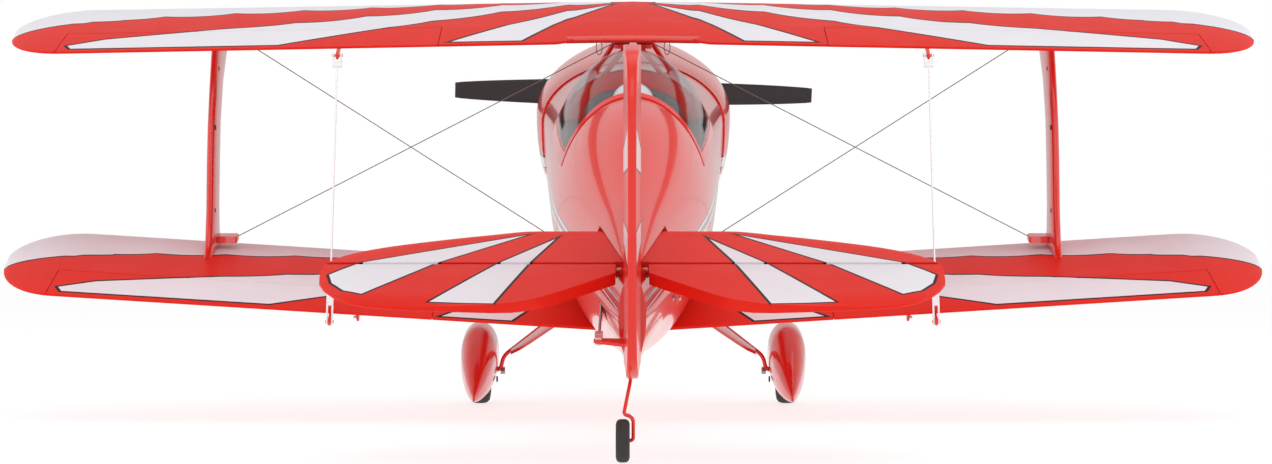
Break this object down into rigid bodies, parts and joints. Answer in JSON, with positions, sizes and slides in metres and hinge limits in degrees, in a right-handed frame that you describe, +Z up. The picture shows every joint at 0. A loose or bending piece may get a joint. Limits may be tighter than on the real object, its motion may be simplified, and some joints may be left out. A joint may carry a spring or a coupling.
{
  "type": "radio control biplane",
  "caption": "Radio control aerobatic biplane with moving ailerons, elevator, rudder, propeller and wheels, and a lift-off canopy hatch.",
  "frame": {"origin": "on the floor, under the centre of the standing aircraft's box", "axes": "+X to the aircraft's right along the span, +Y towards the nose, +Z up; the aircraft stands nose up on its main wheels and tail wheel"},
  "size_m": [0.84, 0.7966, 0.2913],
  "materials": {
    "red_film": "glossy red film",
    "red_paint": "glossy red paint",
    "black_nylon": "matte black moulded nylon",
    "tyre": "matte black foam rubber",
    "white_nylon": "white moulded nylon",
    "wire": "spring steel wire",
    "motor": "turned aluminium",
    "clear_canopy": "clear moulded canopy",
    "cockpit": "dark grey moulded cockpit",
    "plywood": "birch plywood",
    "battery": "shrink wrapped battery",
    "case": "black moulded case"
  },
  "bodies": {
    "airframe": {"fuselage_shell": "red_film", "cowling": "red_film", "firewall": "plywood", "motor_mount": "motor", "upper_wing": "red_film", "lower_wing_left": "red_film", "lower_wing_right": "red_film", "wing_joiner_tube": "wire", "interplane_strut_left": "red_paint", "interplane_strut_right": "red_paint", "cabane_strut_left": "red_paint", "cabane_strut_right": "red_paint", "flying_wire_left": "wire", "flying_wire_right": "wire", "landing_wire_left": "wire", "landing_wire_right": "wire", "landing_gear_wire_left": "wire", "landing_gear_wire_right": "wire", "gear_fairing_left": "red_paint", "gear_fairing_right": "red_paint", "wheel_pant_left": "red_film", "wheel_pant_right": "red_film", "horizontal_stabilizer": "red_film", "vertical_fin": "red_film", "battery": "battery", "speed_controller": "case", "receiver": "case", "elevator_servo": "case", "rudder_servo": "case", "aileron_servo_left": "case", "aileron_servo_right": "case"},
    "propeller": {"propeller": "black_nylon", "spinner": "red_paint", "motor_bell": "motor"},
    "canopy_hatch": {"canopy_glass": "clear_canopy", "cockpit_floor_with_pilot": "cockpit"},
    "elevator": {"elevator_left": "red_film", "elevator_right": "red_film", "elevator_joiner": "wire"},
    "elevator_servo_arm": {"elevator_servo_arm": "white_nylon"},
    "elevator_pushrod": {"elevator_pushrod": "wire"},
    "rudder": {"rudder": "red_film", "tail_wheel_strut": "red_paint"},
    "rudder_servo_arm": {"rudder_servo_arm": "white_nylon"},
    "rudder_pushrod": {"rudder_pushrod": "wire"},
    "tail_wheel": {"tail_wheel": "tyre"},
    "aileron_lower_left": {"aileron_lower_left": "red_film"},
    "aileron_upper_left": {"aileron_upper_left": "red_film"},
    "aileron_link_left": {"aileron_link_left": "wire"},
    "aileron_servo_arm_left": {"aileron_servo_arm_left": "white_nylon"},
    "aileron_pushrod_left": {"aileron_pushrod_left": "wire"},
    "main_wheel_left": {"tyre_left": "tyre", "wheel_hub_left": "white_nylon"},
    "aileron_lower_right": {"aileron_lower_right": "red_film"},
    "aileron_upper_right": {"aileron_upper_right": "red_film"},
    "aileron_link_right": {"aileron_link_right": "wire"},
    "aileron_servo_arm_right": {"aileron_servo_arm_right": "white_nylon"},
    "aileron_pushrod_right": {"aileron_pushrod_right": "wire"},
    "main_wheel_right": {"tyre_right": "tyre", "wheel_hub_right": "white_nylon"}
  },
  "joints": [
    {"name": "propeller_spin", "type": "hinge", "parent": "airframe", "child": "propeller", "pos_m": [0, 0.3652, 0.23586], "axis": [0, 0.973, 0.2307], "continuous": true},
    {"name": "hatch_tilt", "type": "hinge", "parent": "airframe", "child": "canopy_hatch", "pos_m": [0, 0.09128, 0.23381], "axis": [-1, 0, 0], "range_deg": [0, 12]},
    {"name": "aileron_lower_left_hinge", "type": "hinge", "parent": "airframe", "child": "aileron_lower_left", "pos_m": [-0.195, 0.02128, 0.08744], "axis": [0.9979, 0.0149, -0.0628], "range_deg": [-22, 22]},
    {"name": "aileron_upper_left_hinge", "type": "hinge", "parent": "airframe", "child": "aileron_upper_left", "pos_m": [-0.195, 0.06711, 0.26171], "axis": [0.993, 0.115, 0.0273], "range_deg": [-23, 23]},
    {"name": "aileron_link_left_pivot", "type": "hinge", "parent": "aileron_lower_left", "child": "aileron_link_left", "pos_m": [-0.1928, -0.02506, 0.06618], "axis": [0.9979, 0.0149, -0.0628], "range_deg": [-23, 23]},
    {"name": "aileron_servo_left_shaft", "type": "hinge", "parent": "airframe", "child": "aileron_servo_arm_left", "pos_m": [-0.179, 0.0784, 0.08875], "axis": [0.9979, 0.0149, -0.0628], "range_deg": [-23, 23]},
    {"name": "aileron_pushrod_left_pivot", "type": "hinge", "parent": "aileron_servo_arm_left", "child": "aileron_pushrod_left", "pos_m": [-0.179, 0.07357, 0.07013], "axis": [0.9979, 0.0149, -0.0628], "range_deg": [-23, 23]},
    {"name": "aileron_lower_right_hinge", "type": "hinge", "parent": "airframe", "child": "aileron_lower_right", "pos_m": [0.195, 0.02128, 0.08744], "axis": [0.9979, -0.0149, 0.0628], "range_deg": [-22, 22]},
    {"name": "aileron_upper_right_hinge", "type": "hinge", "parent": "airframe", "child": "aileron_upper_right", "pos_m": [0.195, 0.06711, 0.26171], "axis": [0.993, -0.115, -0.0273], "range_deg": [-23, 23]},
    {"name": "aileron_link_right_pivot", "type": "hinge", "parent": "aileron_lower_right", "child": "aileron_link_right", "pos_m": [0.1928, -0.02506, 0.06618], "axis": [0.9979, -0.0149, 0.0628], "range_deg": [-23, 23]},
    {"name": "aileron_servo_right_shaft", "type": "hinge", "parent": "airframe", "child": "aileron_servo_arm_right", "pos_m": [0.179, 0.0784, 0.08875], "axis": [0.9979, -0.0149, 0.0628], "range_deg": [-23, 23]},
    {"name": "aileron_pushrod_right_pivot", "type": "hinge", "parent": "aileron_servo_arm_right", "child": "aileron_pushrod_right", "pos_m": [0.179, 0.07357, 0.07013], "axis": [0.9979, -0.0149, 0.0628], "range_deg": [-23, 23]},
    {"name": "elevator_hinge", "type": "hinge", "parent": "airframe", "child": "elevator", "pos_m": [0, -0.29977, 0.10161], "axis": [1, 0, 0], "range_deg": [-25, 25]},
    {"name": "elevator_servo_shaft", "type": "hinge", "parent": "airframe", "child": "elevator_servo_arm", "pos_m": [0.0214, 0.01978, 0.15395], "axis": [1, 0, 0], "range_deg": [-26, 26]},
    {"name": "elevator_pushrod_pivot", "type": "hinge", "parent": "elevator_servo_arm", "child": "elevator_pushrod", "pos_m": [0.0234, 0.01935, 0.13844], "axis": [1, 0, 0], "range_deg": [-26, 26]},
    {"name": "rudder_hinge", "type": "hinge", "parent": "airframe", "child": "rudder", "pos_m": [0, -0.31883, 0.07366], "axis": [0, -0.2307, 0.973], "range_deg": [-28, 28]},
    {"name": "rudder_servo_shaft", "type": "hinge", "parent": "airframe", "child": "rudder_servo_arm", "pos_m": [0.002, -0.02611, 0.13074], "axis": [0, -0.2307, 0.973], "range_deg": [-29, 29]},
    {"name": "rudder_pushrod_pivot", "type": "hinge", "parent": "rudder_servo_arm", "child": "rudder_pushrod", "pos_m": [-0.016, -0.03046, 0.13176], "axis": [0, -0.2307, 0.973], "range_deg": [-29, 29]},
    {"name": "main_wheel_left_spin", "type": "hinge", "parent": "airframe", "child": "main_wheel_left", "pos_m": [-0.112, 0.214, 0.024], "axis": [1, 0, 0], "continuous": true},
    {"name": "main_wheel_right_spin", "type": "hinge", "parent": "airframe", "child": "main_wheel_right", "pos_m": [0.112, 0.214, 0.024], "axis": [1, 0, 0], "continuous": true},
    {"name": "tail_wheel_spin", "type": "hinge", "parent": "rudder", "child": "tail_wheel", "pos_m": [-0.005, -0.33184, 0.0115], "axis": [1, 0, 0], "continuous": true}
  ],
  "couplings": [
    {"joint": "aileron_upper_left_hinge", "follows": "aileron_lower_left_hinge", "ratio": 1},
    {"joint": "aileron_link_left_pivot", "follows": "aileron_lower_left_hinge", "ratio": -1},
    {"joint": "aileron_servo_left_shaft", "follows": "aileron_lower_left_hinge", "ratio": 1},
    {"joint": "aileron_pushrod_left_pivot", "follows": "aileron_lower_left_hinge", "ratio": -1},
    {"joint": "aileron_lower_right_hinge", "follows": "aileron_lower_left_hinge", "ratio": -1},
    {"joint": "aileron_upper_right_hinge", "follows": "aileron_lower_left_hinge", "ratio": -1},
    {"joint": "aileron_link_right_pivot", "follows": "aileron_lower_left_hinge", "ratio": 1},
    {"joint": "aileron_servo_right_shaft", "follows": "aileron_lower_left_hinge", "ratio": -1},
    {"joint": "aileron_pushrod_right_pivot", "follows": "aileron_lower_left_hinge", "ratio": 1},
    {"joint": "elevator_servo_shaft", "follows": "elevator_hinge", "ratio": 1},
    {"joint": "elevator_pushrod_pivot", "follows": "elevator_hinge", "ratio": -1},
    {"joint": "rudder_servo_shaft", "follows": "rudder_hinge", "ratio": 1},
    {"joint": "rudder_pushrod_pivot", "follows": "rudder_hinge", "ratio": -1}
  ]
}
